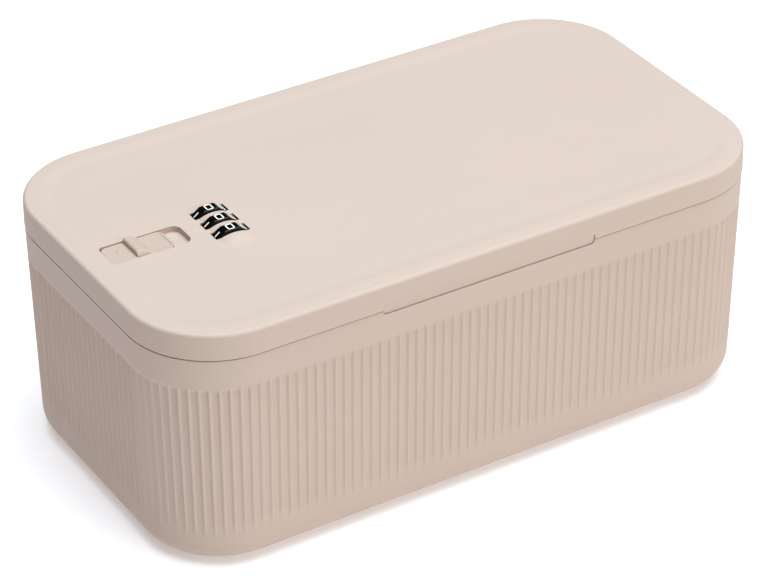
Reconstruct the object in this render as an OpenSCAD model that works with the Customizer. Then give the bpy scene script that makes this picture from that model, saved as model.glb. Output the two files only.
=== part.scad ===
/* [Case] */
// Overall length of the case, left to right
case_l = 270; // [240:5:320]
// Overall width of the case, front to back
case_w = 148.5; // [130:0.5:190]
// Overall height from the table to the top of the lid's rim
case_h = 106.5; // [95:0.5:150]
// Radius of the four upright corners
corner_r = 35.8; // [26:0.1:40]
// Thickness of the body's walls
wall = 2.6; // [2.2:0.1:3.4]
// Thickness of the body's floor
floor_t = 2.8; // [2:0.1:5]
// Mould draft of the body's walls, in degrees
draft = 1.12; // [0.5:0.02:1.4]
// Radius of the rounding between the walls and the floor
base_fillet = 9.8; // [6:0.2:12]
// How far the body stands back under the lid's skirt at the front and the rear
side_inset = 0.5; // [0.2:0.1:1]
// How far the body stands back under the lid's skirt at its two ends
end_inset = 0.1; // [0:0.1:0.5]

/* [Flutes] */
// Flutes along each long side
flutes_long = 50; // [30:1:60]
// Flutes along each short side
flutes_short = 19; // [12:1:28]
// Flutes round each corner
flutes_corner = 14; // [9:1:16]
// Share of the pitch left standing as a ridge
ridge_share = 0.35; // [0.2:0.05:0.5]
// Depth of a flute
flute_depth = 0.6; // [0.3:0.05:0.9]
// Height of the plain band between the body's rim and the flutes
band_h = 12; // [8:0.5:16]
// Height above the table at which the flutes start
flute_low = 13; // [11:0.5:20]
// Height over which a flute gains its full depth at the foot
foot_fade = 9; // [2:0.5:14]
// Height over which a flute loses its depth again at the top
top_fade = 3.5; // [1:0.5:6]

/* [Lid] */
// Height of the lid from its skirt's edge to the top of its rim
lid_h = 10.9; // [10.9:0.1:15]
// Thickness of the lid's skirt
skirt_t = 2.5; // [2:0.1:3]
// How far the skirt leans in from its lower edge to its top
skirt_lean = 0.2; // [0:0.1:0.5]
// Radius of the lid's top outer edge
lid_fillet = 2; // [1:0.1:4]
// Width of the raised rim's flat top
rim_w = 6; // [3:0.5:8]
// Width of the soft slope from the rim down to the panel
slope_w = 5; // [3:0.5:8]
// Depth of the panel below the rim
panel_drop = 1.1; // [0.6:0.1:2]
// Thickness of the lid's panel
panel_t = 2.4; // [2:0.1:3]
// Width of the dark seam between the lid and the body
seam_gap = 0.6; // [0.4:0.1:1]
// Height of the body's inner lip that centres the lid
register_h = 2.4; // [1.6:0.2:3]
// Thickness of that inner lip
register_t = 1.6; // [1.2:0.1:2]
// Clearance between that inner lip and the skirt
register_gap = 0.5; // [0.3:0.1:0.8]

/* [Finger lip] */
// Length of the lip that lifts the lid
lip_l = 94; // [60:1:130]
// Thickness of the lip
lip_t = 1.2; // [1:0.1:1.4]
// Reach of the lip below the skirt's edge
lip_drop = 2.1; // [1.2:0.1:2.6]
// Height of the recess in the skirt above the skirt's edge
lip_rise = 2.7; // [1.5:0.1:4]
// Depth of that recess
lip_in = 1; // [0.6:0.1:1.2]
// Corner radius of the lip and of the recess
lip_round = 1.5; // [0.8:0.1:2]
// Clearance round the lip
lip_gap = 0.6; // [0.5:0.1:1.2]

/* [Hinge] */
// Distance of the hinge axis in from the lid's rear face
hinge_in = 0.2; // [0:0.1:0.4]
// Radius of the hinge knuckles
barrel_r = 3.2; // [3:0.1:3.8]
// Radius of the hinge pins
hinge_pin_r = 1.25; // [0.9:0.05:1.5]
// Distance of each hinge from the middle of the case
hinge_x = 68; // [50:1:80]
// Length of the lid's knuckle
lid_knuckle_l = 22; // [12:1:30]
// Length of each of the body's knuckles
body_knuckle_l = 9; // [6:1:14]
// Side clearance between knuckles
knuckle_gap = 0.4; // [0.2:0.1:0.8]
// Clearance round a knuckle where it turns in a notch
notch_gap = 0.5; // [0.3:0.1:0.8]
// Furthest the lid opens, in degrees
lid_open = 105; // [90:1:110]

/* [Lock position] */
// Distance of the dials' axis from the left end of the case
dial_from_end = 59.3; // [56:0.1:70]
// Sideways offset of the lock from the middle of the lid
lock_y = -1.2; // [-8:0.1:8]

/* [Dials] */
// Radius of a dial wheel over its corners
dial_r = 9.8; // [9:0.1:10.2]
// Width of a dial wheel
dial_w = 4.5; // [4:0.1:4.8]
// Distance from one dial wheel to the next
dial_pitch = 8.28; // [8.28:0.02:9.5]
// Height of a dial's upper face above the lid's panel
dial_proud = 2.4; // [1.8:0.1:2.8]
// Clearance round a dial wheel in its window
dial_gap = 0.4; // [0.3:0.05:0.7]
// Length of the arched ribs that stand beside the wheels
rib_l = 15; // [12:0.5:18]
// Height of those ribs above the lid's panel
rib_h = 1.1; // [0.5:0.1:1.4]
// Radius of the dials' shaft
shaft_r = 1.5; // [1.2:0.1:1.8]
// Radius of a dial's sleeve
sleeve_r = 4; // [3.4:0.1:4.6]
// Inner radius of the gate ring on a dial's sleeve
ring_in = 4.9; // [4.8:0.1:5]
// Outer radius of the gate ring
ring_out = 5.7; // [5.5:0.1:5.8]
// Width of the gate that lets a finger of the latch through
gate_w = 2.8; // [2.4:0.1:3.2]

/* [Slider] */
// Length of the pocket that the slider moves in
pocket_l = 33.8; // [32:0.1:36]
// Width of that pocket
pocket_w = 13.6; // [12:0.1:15]
// Corner radius at the pocket's right end
pocket_r = 3.4; // [2:0.1:4]
// Corner radius at the pocket's left end
pocket_left_r = 1.8; // [1:0.1:4]
// Depth of that pocket below the panel
pocket_d = 3; // [2.6:0.1:3.4]
// Thickness of the pocket's floor
pocket_floor = 1.4; // [1.2:0.1:1.8]
// Distance from the right end of the pocket to the dials' axis
pocket_to_dial = 14.7; // [14.2:0.1:18]
// Travel of the slider
slide_travel = 7; // [6.8:0.1:7.6]
// Clearance round the slider
slide_gap = 0.2; // [0.15:0.05:0.3]
// Depth of the slider's plate below the panel
plate_drop = 0.4; // [0.2:0.1:0.8]
// Height of the thumb rib above the slider's plate
grip_h = 3; // [2:0.1:3.6]
// Thickness of the steel latch plate
latch_t = 1.2; // [1:0.1:1.4]

/* [Strike] */
// Width of the strike hook
strike_w = 11; // [8:0.5:12]
// Thickness of the strike hook's steel
strike_t = 1.2; // [1:0.1:1.4]

/* [Feet] */
// Height of the rubber feet below the body
foot_h = 1; // [0.6:0.1:2]
// Radius of a rubber foot
foot_r = 6; // [4:0.5:8]
// Distance of a foot's centre in from the sides of the case
foot_in = 24; // [22:1:34]

/* [Hidden] */

cream = "#e2d6cc";
steel = "#b9bcc0";
black = "#1d1c1e";
grey = "#8d8a88";
$fn = 48;
// Overreach of a cut past the face it opens
over = 1;
// Clearance of a shaft or pin that turns
running = 0.05;
// Clearance of a pin or screw that is held still
held = 0.02;

// Heights
seam_z = case_h - lid_h;
rim_z = seam_z - seam_gap;
panel_z = case_h - panel_drop;
under_z = panel_z - panel_t;
pocket_z = panel_z - pocket_d;
pocket_under = pocket_z - pocket_floor;
plate_top = panel_z - plate_drop;

// The upright axes of the case's corners, which every outline shares
corner_x = case_l / 2 - corner_r;
corner_y = case_w / 2 - corner_r;
body_r = corner_r - side_inset;
body_x = corner_x + side_inset - end_inset;
body_end = body_x + body_r - wall;
skirt_in_r = corner_r - skirt_t;
register_r = skirt_in_r - register_gap;
register_in_r = register_r - register_t;
rim_in_r = corner_r - skirt_lean - lid_fillet - rim_w;
lean = tan(draft);
flute_h = rim_z - band_h - flute_low;

// Hinge axis
hinge_y = case_w / 2 - hinge_in;
body_knuckle_x = lid_knuckle_l / 2 + knuckle_gap + body_knuckle_l / 2;
hinge_l = lid_knuckle_l + 2 * (knuckle_gap + body_knuckle_l);

// Dials, whose wheels have a flat face for each of ten digits
dial_faces = 10;
dial_x = -case_l / 2 + dial_from_end;
dial_flat = dial_r * cos(180 / dial_faces);
dial_z = panel_z + dial_proud - dial_flat;
hub_r = shaft_r + 1.1;
web_t = 0.6;
ring_end = dial_w / 2 + 1.75;
finger_v = ring_end + 0.3;
finger_t = 1.2;
nub_in = dial_w / 2 + web_t + 0.25;
bore_r = shaft_r + running;
rib_half = (dial_pitch - dial_w) / 2 - dial_gap;
rib_r = (rib_l * rib_l / 4 + rib_h * rib_h) / (2 * rib_h);

// Carrier of the dials
carrier_in = dial_r + 0.7;
carrier_t = 1.4;
cheek_t = 2;
cheek_lo = lock_y - 1.5 * dial_pitch - 0.1;
cheek_hi = lock_y + dial_pitch + finger_v + finger_t + 0.5;
carrier_top = under_z - 0.1;
carrier_floor = dial_z - dial_r - 1.7;
ear_w = 8;
ear_off = 7.5;
ear_t = 1.5;
ear_reach = 8;
ear_z = under_z - 6.5;
screw_r = 1.25;
screw_head_r = 2.4;
screw_head_h = 1.4;
boss_r = 3;
boss_hole = 5;
boss_thread = 4.5;
carrier_ears = [[dial_x + ear_off, cheek_lo - cheek_t - ear_reach / 2],
    [dial_x - ear_off, cheek_hi + cheek_t + ear_reach / 2]];

// Spring leaf under the dials, and the lever that frees them
detent_x = dial_x + carrier_in - 3;
detent_screw_y = [lock_y - dial_pitch / 2, lock_y + dial_pitch / 2];
detent_screw_r = 0.8;
leaf_t = 0.4;
leaf_z = carrier_floor + 0.05;
reset_x = dial_x - 3;
reset_y = (lock_y + dial_pitch + dial_w / 2 + cheek_hi) / 2;
reset_travel = 3;

// Slider and its pocket
pocket_x1 = dial_x - pocket_to_dial;
pocket_x0 = pocket_x1 - pocket_l;
plate_x0 = pocket_x0 + slide_gap;
plate_x1 = pocket_x1 - slide_travel;
plate_w = pocket_w - 2 * slide_gap;
stem_x0 = plate_x0 + 10.6;
stem_l = 7.5;
stem_w = 8.6;
stem_hole = 4;
stem_thread = 3.5;
stem_screw_x = [stem_x0 + 2, stem_x0 + stem_l - 2];
pocket_wall = 1.6;
latch_top = pocket_under - 2.05;
latch_z = latch_top - latch_t;
grip_x0 = plate_x0 + 10;
grip_top_l = 2.8;
grip_ramp_l = 2.5;
grip_w = plate_w - 2;
grip_round = 0.8;
grip_arc_z = plate_top + grip_h - grip_round;
sunk_x0 = grip_x0 + 7;
sunk_x1 = plate_x1 - 1.2;
sunk_w = plate_w - 2.6;
sunk_d = 0.35;
dot_x = plate_x0 + 5.6;
dot_y = 0.6;
dot_r = 0.6;

// Strike hook
nose_z = pocket_under - 0.5;
strike_gap = 1.3;
rail_w = 2.1;
frame_x0 = -(corner_x + register_in_r) + 0.4;
crossbar_w = 2.8;
post_x = frame_x0 + crossbar_w + slide_travel + 0.5;
nose_x = frame_x0 + crossbar_w + 0.8;
frame_in = strike_w / 2 + strike_gap;
frame_out = frame_in + rail_w;
opening_x1 = post_x + strike_t + 1;
latch_x1 = dial_x - dial_r - 1.8 - slide_travel;
bridge_w = 4;
nub_l = 1.2;
finger_x1 = dial_x - hub_r - 0.6 - slide_travel;
strike_low = seam_z - 20.5;
shelf_z = seam_z - 7.3;
pad_w = strike_w + 5;
pad_x = 3.1 - body_end;
pad_low = strike_low - 1;
pad_high = shelf_z - 0.3;
strike_screw_z = [strike_low + 3.4, strike_low + 9.2];

// Cover under the latch plate
cover_t = 1.2;
cover_z = latch_z - 1.1 - cover_t;
cover_in = dial_pitch + finger_v + finger_t + 0.7;
cover_wall = 1.3;
cover_x0 = frame_x0 + 0.1;
cover_x1 = dial_x - carrier_in - carrier_t - 0.4;
cover_out = cover_in + cover_wall;
cover_ear = 3.4;
cover_screws_at = [for (x = [cover_x0 + 7, cover_x1 - 5], s = [-1, 1])
    [x, lock_y + s * (cover_out + cover_ear)]];

// Lip that lifts the lid
lip_y = -case_w / 2 + lip_in;
lip_low = seam_z - lip_drop;
lip_high = seam_z + lip_rise;
lip_half = lip_l / 2;

// Feet, which sit in shallow seats
foot_seat = 0.55;
foot_places = [for (x = [-1, 1], y = [-1, 1])
    [x * (case_l / 2 - foot_in), y * (case_w / 2 - foot_in)]];

function arc(cx, cy, r, from, to, steps) =
    [for (i = [0:steps]) let (a = from + (to - from) * i / steps) [cx + r * cos(a), cy + r * sin(a)]];

// Where the body's wall stands at a height, for a wall that is r out from the corner axis at the rim
function leaning(r, z) = r - lean * (rim_z - z);

// Half section of a drafted tub with a rounded foot
function tub_section(r, bottom, fillet, top) =
    let (cz = bottom + fillet, cx = leaning(r, cz) - fillet / cos(draft))
    concat([[0, bottom]], arc(cx, cz, fillet, -90, -draft, 8), [[r, rim_z]], top);

// Sweeps a half section round the rounded outline of the case, and fills the middle
module around(z0, z1, half_x = corner_x) {
    for (sx = [0, 1], sy = [0, 1])
        mirror([sx, 0, 0]) mirror([0, sy, 0]) translate([half_x, corner_y, 0])
            rotate_extrude(angle = 90) children();
    for (s = [0, 1]) mirror([0, s, 0]) translate([-half_x, corner_y, 0])
        rotate([90, 0, 90]) linear_extrude(2 * half_x) children();
    for (s = [0, 1]) mirror([s, 0, 0]) translate([half_x, corner_y, 0])
        rotate([90, 0, 0]) linear_extrude(2 * corner_y) children();
    translate([-half_x, -corner_y, z0]) cube([2 * half_x, 2 * corner_y, z1 - z0]);
}

// A plate whose corners are rounded by one radius at its left end and by another at its right end
module rounded_plate(x0, x1, w, left_r, right_r, z0, z1) {
    translate([0, 0, z0]) linear_extrude(z1 - z0) {
        translate([x0 + left_r, -w / 2]) square([x1 - x0 - left_r - right_r, w]);
        translate([x0, -w / 2 + left_r]) square([left_r + over, w - 2 * left_r]);
        translate([x1 - right_r - over, -w / 2 + right_r]) square([right_r + over, w - 2 * right_r]);
        for (s = [-1, 1]) {
            translate([x0 + left_r, s * (w / 2 - left_r)]) circle(left_r);
            translate([x1 - right_r, s * (w / 2 - right_r)]) circle(right_r);
        }
    }
}

// An upright slab that faces the front, with its low or its high corners rounded
module lip_slab(half, low, high, y, t, round_low) {
    translate([0, y + t, 0]) rotate([90, 0, 0]) linear_extrude(t) {
        translate([-half + lip_round, low]) square([2 * (half - lip_round), high - low]);
        translate([-half, low + (round_low ? lip_round : 0)]) square([2 * half, high - low - lip_round]);
        for (x = [-half + lip_round, half - lip_round])
            translate([x, round_low ? low + lip_round : high - lip_round]) circle(lip_round);
    }
}

module along_x(x, l, y, z, r) {
    translate([x - l / 2, y, z]) rotate([0, 90, 0]) cylinder(h = l, r = r);
}

module along_y(x, y0, y1, z, r) {
    translate([x, y1, z]) rotate([90, 0, 0]) cylinder(h = y1 - y0, r = r);
}

module box(x0, x1, y0, y1, z0, z1) {
    translate([x0, y0, z0]) cube([x1 - x0, y1 - y0, z1 - z0]);
}

module screw_up(z, l) {
    translate([0, 0, z - screw_head_h]) cylinder(h = screw_head_h, r = screw_head_r);
    translate([0, 0, z - 0.01]) cylinder(h = l, r = screw_r - held);
}

// One flute, cut into the face that stands out along +X, running out at both its ends
module flute_cut(reach, width) {
    translate([reach, width / 2, rim_z]) rotate([0, draft, 0]) rotate([90, 0, 0])
        translate([0, -band_h - flute_h]) linear_extrude(width) polygon([[over, 0], [0, 0],
            [-flute_depth, foot_fade], [-flute_depth, flute_h - top_fade], [0, flute_h], [over, flute_h]]);
}

module flutes() {
    long_pitch = 2 * body_x / flutes_long;
    short_pitch = 2 * corner_y / flutes_short;
    turn = 90 / flutes_corner;
    corner_pitch = body_r * turn * PI / 180;
    for (side = [-90, 90], i = [0:flutes_long - 1])
        translate([-body_x + (i + 0.5) * long_pitch, 0, 0]) rotate([0, 0, side])
            flute_cut(corner_y + body_r, long_pitch * (1 - ridge_share));
    for (side = [0, 180], i = [0:flutes_short - 1])
        translate([0, -corner_y + (i + 0.5) * short_pitch, 0]) rotate([0, 0, side])
            flute_cut(body_x + body_r, short_pitch * (1 - ridge_share));
    for (q = [0:3], i = [0:flutes_corner - 1])
        translate([(q == 0 || q == 3 ? 1 : -1) * body_x, (q < 2 ? 1 : -1) * corner_y, 0])
            rotate([0, 0, 90 * q + (i + 0.5) * turn]) flute_cut(body_r, corner_pitch * (1 - ridge_share));
}

module body_cavity() {
    floor_z = foot_h + floor_t;
    top = rim_z + register_h + over;
    around(floor_z, top, body_x) polygon(concat(
        [for (p = tub_section(body_r - wall, floor_z, base_fillet - wall, [])) if (p[1] < rim_z - 5) p],
        [[leaning(body_r - wall, rim_z - 4.5), rim_z - 4.5], [register_in_r, rim_z - 1.5],
            [register_in_r, top], [0, top]]));
}

// The web that carries a body knuckle down into the rear wall, tangent to the knuckle
module hinge_gusset(x) {
    a = -35;
    depth = 1.6;
    translate([x - body_knuckle_l / 2, hinge_y, seam_z]) rotate([90, 0, 90]) linear_extrude(body_knuckle_l)
        polygon([[0, 0], [barrel_r * cos(a), barrel_r * sin(a)],
            [-depth, barrel_r * sin(a) - (barrel_r * cos(a) + depth) / tan(-a)], [-depth, 0]]);
}

module body_shell() color(cream) {
    difference() {
        union() {
            difference() {
                union() {
                    around(foot_h, rim_z, body_x)
                        polygon(tub_section(body_r, foot_h, base_fillet, [[0, rim_z]]));
                    around(rim_z - over, rim_z + register_h)
                        translate([0, rim_z - over]) square([register_r, over + register_h]);
                }
                body_cavity();
                flutes();
            }
            for (h = [-hinge_x, hinge_x], k = [-body_knuckle_x, body_knuckle_x]) {
                along_x(h + k, body_knuckle_l, hinge_y, seam_z, barrel_r);
                hinge_gusset(h + k);
            }
            box(-body_end - 0.8, pad_x, lock_y - pad_w / 2, lock_y + pad_w / 2, pad_low, pad_high);
        }
        for (h = [-hinge_x, hinge_x]) {
            along_x(h, lid_knuckle_l + 2 * knuckle_gap, hinge_y, seam_z, barrel_r + notch_gap);
            along_x(h, hinge_l + 2 * over, hinge_y, seam_z, hinge_pin_r + held);
        }
        lip_slab(lip_half + lip_gap, lip_low - lip_gap, rim_z + over, lip_y - 2, 2 + lip_t + 0.4, true);
        for (z = strike_screw_z) translate([pad_x - 4.2, lock_y, z]) rotate([0, 90, 0])
            cylinder(h = 4.2 + over, r = screw_r);
        for (p = foot_places) translate([p[0], p[1], foot_h - over])
            cylinder(h = over + foot_seat + 0.05, r = foot_r + 0.1);
    }
}

module foot(n) color(grey) {
    translate(foot_places[n - 1]) cylinder(h = foot_h + foot_seat, r = foot_r);
}

module hinge_pin(side) color(steel) {
    along_x(side * hinge_x, hinge_l, hinge_y, seam_z, hinge_pin_r);
}

module strike_hook() color(steel) {
    difference() {
        translate([0, lock_y + strike_w / 2, 0]) rotate([90, 0, 0]) linear_extrude(strike_w)
            polygon([[pad_x, strike_low], [pad_x + strike_t, strike_low], [pad_x + strike_t, shelf_z],
                [post_x + strike_t, shelf_z], [post_x + strike_t, nose_z], [nose_x, nose_z],
                [nose_x, nose_z - strike_t], [post_x, nose_z - strike_t], [post_x, shelf_z + strike_t],
                [pad_x, shelf_z + strike_t]]);
        for (z = strike_screw_z) translate([pad_x - over, lock_y, z]) rotate([0, 90, 0])
            cylinder(h = strike_t + 2 * over, r = screw_r + 0.15);
    }
}

module strike_screws() color(steel) {
    for (z = strike_screw_z) translate([pad_x + strike_t, lock_y, z]) rotate([0, -90, 0]) {
        translate([0, 0, -1.5]) cylinder(h = 1.5, r = screw_head_r);
        translate([0, 0, -0.01]) cylinder(h = 5.2, r = screw_r - held);
    }
}

// Half section of the lid: skirt, rounded edge, raised rim, soft slope and panel
module lid_section() {
    steps = 8;
    polygon(concat([[0, seam_z], [corner_r, seam_z]],
        arc(corner_r - skirt_lean - lid_fillet, case_h - lid_fillet, lid_fillet, 0, 90, steps),
        [for (i = [0:steps]) let (t = i / steps)
            [rim_in_r - slope_w * t, panel_z + panel_drop * (1 + cos(180 * t)) / 2]],
        [[0, panel_z]]));
}

module lid_cavity() {
    high = under_z + panel_drop;
    around(seam_z - over, under_z) polygon([[0, seam_z - over], [skirt_in_r, seam_z - over],
        [skirt_in_r, high - 1.2], [skirt_in_r - 1.2, high], [rim_in_r, high],
        [rim_in_r - slope_w, under_z], [0, under_z]]);
}

// The recess over the lip, and the slit at each of its ends that lets it flex
module lip_recess() {
    lip_slab(lip_half + lip_gap, seam_z - over, lip_high, lip_y - 2, 2, false);
    for (x = [-lip_half - lip_gap, lip_half])
        box(x, x + lip_gap, lip_y - over, skirt_t + 0.1 - case_w / 2, seam_z - over, lip_high - lip_round);
}

module lip_tongue() {
    lip_slab(lip_half, lip_low, seam_z + lip_round + over, lip_y, lip_t, true);
}

// Ribs with an arched top, between the wheels and outside them
module arched_ribs() {
    half_angle = asin(rib_l / 2 / rib_r);
    translate([dial_x, lock_y + 1.5 * dial_pitch + rib_half, 0]) rotate([90, 0, 0])
        linear_extrude(3 * dial_pitch + 2 * rib_half) polygon(concat([[rib_l / 2, panel_z - 0.5]],
            arc(0, panel_z + rib_h - rib_r, rib_r, 90 - half_angle, 90 + half_angle, 12),
            [[-rib_l / 2, panel_z - 0.5]]));
}

module boss(p, z) {
    translate([p[0], p[1], z]) difference() {
        cylinder(h = under_z - z + 0.2, r = boss_r);
        translate([0, 0, -over]) cylinder(h = boss_hole + over, r = screw_r);
    }
}

module lid_shell() color(cream) {
    difference() {
        union() {
            difference() {
                around(seam_z, panel_z) lid_section();
                lid_cavity();
            }
            for (h = [-hinge_x, hinge_x]) along_x(h, lid_knuckle_l, hinge_y, seam_z, barrel_r);
            lip_tongue();
            arched_ribs();
            box(pocket_x0 - pocket_wall, pocket_x1 + pocket_wall, lock_y - pocket_w / 2 - pocket_wall,
                lock_y + pocket_w / 2 + pocket_wall, pocket_under, under_z + panel_drop + 0.5);
            for (p = cover_screws_at) boss(p, cover_z + cover_t);
            for (p = carrier_ears) boss(p, ear_z + ear_t);
        }
        lip_recess();
        for (h = [-hinge_x, hinge_x]) {
            for (k = [-body_knuckle_x, body_knuckle_x])
                along_x(h + k, body_knuckle_l + 2 * knuckle_gap, hinge_y, seam_z, barrel_r + notch_gap);
            along_x(h, hinge_l + 2 * over, hinge_y, seam_z, hinge_pin_r + running);
        }
        translate([0, lock_y, 0])
            rounded_plate(pocket_x0, pocket_x1, pocket_w, pocket_left_r, pocket_r, pocket_z, case_h + over);
        box(stem_x0 - slide_gap, stem_x0 + stem_l + slide_travel + slide_gap,
            lock_y - stem_w / 2 - slide_gap, lock_y + stem_w / 2 + slide_gap,
            pocket_under - over, pocket_z + over);
        for (n = [-1:1]) along_y(dial_x, lock_y + n * dial_pitch - dial_w / 2 - dial_gap,
            lock_y + n * dial_pitch + dial_w / 2 + dial_gap, dial_z, dial_r + dial_gap);
        along_y(dial_x, cheek_lo, cheek_hi, dial_z, ring_out + 0.35);
    }
}

module slider_button() color(cream) {
    translate([0, lock_y, 0]) difference() {
        union() {
            rounded_plate(plate_x0, plate_x1, plate_w, pocket_left_r - slide_gap, pocket_r - slide_gap,
                pocket_z + 0.1, plate_top);
            box(stem_x0, stem_x0 + stem_l, -stem_w / 2, stem_w / 2, latch_top, pocket_z + 0.2);
            translate([0, grip_w / 2, 0]) rotate([90, 0, 0]) linear_extrude(grip_w)
                polygon(concat([[grip_x0, plate_top - 0.1]],
                    arc(grip_x0 + grip_round, grip_arc_z, grip_round, 180, 90, 5),
                    arc(grip_x0 + grip_top_l - grip_round, grip_arc_z, grip_round, 90, 40, 3),
                    [[grip_x0 + grip_top_l + grip_ramp_l, plate_top - 0.1]]));
            translate([dot_x, dot_y, plate_top - 0.1]) cylinder(h = 0.35, r = dot_r);
        }
        rounded_plate(sunk_x0, sunk_x1, sunk_w, 0.8, 0.8, plate_top - sunk_d, plate_top + over);
        for (x = stem_screw_x) translate([x, 0, latch_top - over])
            cylinder(h = stem_hole + over, r = screw_r);
    }
}

module latch_plate() color(steel) {
    translate([0, lock_y, latch_z]) linear_extrude(latch_t) difference() {
        union() {
            translate([frame_x0, -frame_out]) square([latch_x1 - frame_x0, 2 * frame_out]);
            for (n = [-1:1]) {
                translate([latch_x1 - over, n * dial_pitch + finger_v])
                    square([finger_x1 - latch_x1 + over, finger_t]);
                translate([finger_x1 - nub_l, n * dial_pitch + nub_in])
                    square([nub_l, finger_v - nub_in + 0.1]);
            }
            translate([latch_x1 - bridge_w, 0]) square([bridge_w, dial_pitch + finger_v + finger_t]);
            translate([latch_x1 - bridge_w, -dial_pitch + nub_in]) square([bridge_w, dial_pitch]);
        }
        translate([frame_x0 + crossbar_w, -frame_in])
            square([opening_x1 - frame_x0 - crossbar_w, 2 * frame_in]);
        for (x = stem_screw_x) translate([x, 0]) circle(screw_r + 0.15);
    }
}

module slider_screws() color(steel) {
    for (x = stem_screw_x) translate([x, lock_y, 0]) {
        translate([0, 0, latch_z - 0.9]) cylinder(h = 0.9, r = 1.6);
        translate([0, 0, latch_z - 0.01]) cylinder(h = latch_t + stem_thread, r = screw_r - held);
    }
}

module latch_cover() color(cream) {
    difference() {
        union() {
            for (y = [lock_y - cover_out, lock_y + cover_in])
                box(cover_x0, cover_x1, y, y + cover_wall, cover_z, under_z - 0.1);
            box(cover_x0, cover_x1, lock_y - cover_out, lock_y + cover_out, cover_z, cover_z + cover_t);
            for (p = cover_screws_at) box(p[0] - cover_ear, p[0] + cover_ear,
                p[1] - cover_ear, p[1] + cover_ear, cover_z, cover_z + cover_t);
        }
        box(nose_x - 1.2, post_x + strike_t + 1.2, lock_y - frame_in, lock_y + frame_in, cover_z - over,
            cover_z + cover_t + over);
        for (p = cover_screws_at) translate([p[0], p[1], cover_z - over])
            cylinder(h = cover_t + 2 * over, r = screw_r + 0.15);
    }
}

module cover_screws() color(steel) {
    for (p = cover_screws_at) translate([p[0], p[1], 0]) screw_up(cover_z, cover_t + boss_thread);
}

module dial_carrier() color(cream) {
    difference() {
        union() {
            box(dial_x - carrier_in - carrier_t, dial_x + carrier_in + carrier_t, cheek_lo - cheek_t,
                cheek_hi + cheek_t, carrier_floor - carrier_t, carrier_top);
            for (p = carrier_ears) box(p[0] - ear_w / 2, p[0] + ear_w / 2,
                p[1] - ear_reach / 2 - 0.5, p[1] + ear_reach / 2 + 0.5, ear_z, ear_z + ear_t);
        }
        box(dial_x - carrier_in, dial_x + carrier_in, cheek_lo, cheek_hi,
            carrier_floor, carrier_top + over);
        box(dial_x - carrier_in - carrier_t - over, dial_x, cheek_lo, cheek_hi,
            latch_z - 1, carrier_top + over);
        along_y(dial_x, cheek_lo - cheek_t - over, cheek_hi + cheek_t + over, dial_z, shaft_r + held);
        for (p = carrier_ears) translate([p[0], p[1], ear_z - over])
            cylinder(h = ear_t + 2 * over, r = screw_r + 0.15);
        for (s = detent_screw_y) translate([detent_x, s, carrier_floor - carrier_t - over])
            cylinder(h = carrier_t + 2 * over, r = detent_screw_r);
        box(reset_x - 1.6, reset_x + 1.6 + reset_travel, reset_y - 1.1, reset_y + 1.1,
            carrier_floor - carrier_t - over, carrier_floor + over);
    }
}

module carrier_screws() color(steel) {
    for (p = carrier_ears) translate([p[0], p[1], 0]) screw_up(ear_z, ear_t + boss_thread);
}

module dial_shaft() color(steel) {
    along_y(dial_x, cheek_lo - cheek_t - 1.2, cheek_hi + cheek_t + 1.2, dial_z, shaft_r);
}

module shaft_clips() color(steel) {
    for (y = [cheek_lo - cheek_t - 0.65, cheek_hi + cheek_t + 0.05])
        translate([dial_x, y + 0.6, dial_z]) rotate([90, 0, 0]) difference() {
            cylinder(h = 0.6, r = 3);
            translate([0, 0, -over]) cylinder(h = 0.6 + 2 * over, r = shaft_r + held);
        }
}

module detent_spring() color(steel) {
    low = leaf_z;
    tip = dial_z - dial_r - 0.15;
    end = tip - 0.6;
    finger_half = 2;
    difference() {
        union() {
            box(detent_x - 2.2, detent_x + 2.2, lock_y - dial_pitch - finger_half,
                lock_y + dial_pitch + finger_half, low, low + leaf_t);
            for (n = [-1:1]) translate([0, lock_y + n * dial_pitch + finger_half, 0]) rotate([90, 0, 0])
                linear_extrude(2 * finger_half) polygon([[detent_x - 2, low], [detent_x - 2, low + leaf_t],
                    [dial_x + 1, tip], [dial_x - 1, tip], [dial_x - 3, end], [dial_x - 3, end - leaf_t],
                    [dial_x - 1, tip - leaf_t], [dial_x + 1, tip - leaf_t]]);
        }
        for (s = detent_screw_y) translate([detent_x, s, low - over]) cylinder(h = 3, r = 1);
    }
}

module detent_screws() color(steel) {
    top = leaf_z + leaf_t;
    low = carrier_floor - carrier_t;
    for (s = detent_screw_y) translate([detent_x, s, 0]) {
        translate([0, 0, top]) cylinder(h = 0.8, r = 1.6);
        translate([0, 0, low]) cylinder(h = top + 0.1 - low, r = detent_screw_r - held);
    }
}

// A dial wheel with ten flat faces, one of them on top
module dial_wheel(n) color(black) {
    y = lock_y + (n - 2) * dial_pitch;
    translate([dial_x, y, dial_z]) rotate([90, 0, 0]) difference() {
        linear_extrude(dial_w, center = true) polygon([for (i = [0:dial_faces - 1])
            let (a = (i + 0.5) * 360 / dial_faces + 90) dial_r * [cos(a), sin(a)]]);
        cylinder(h = dial_w + 2 * over, r = sleeve_r, center = true);
    }
}

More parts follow.
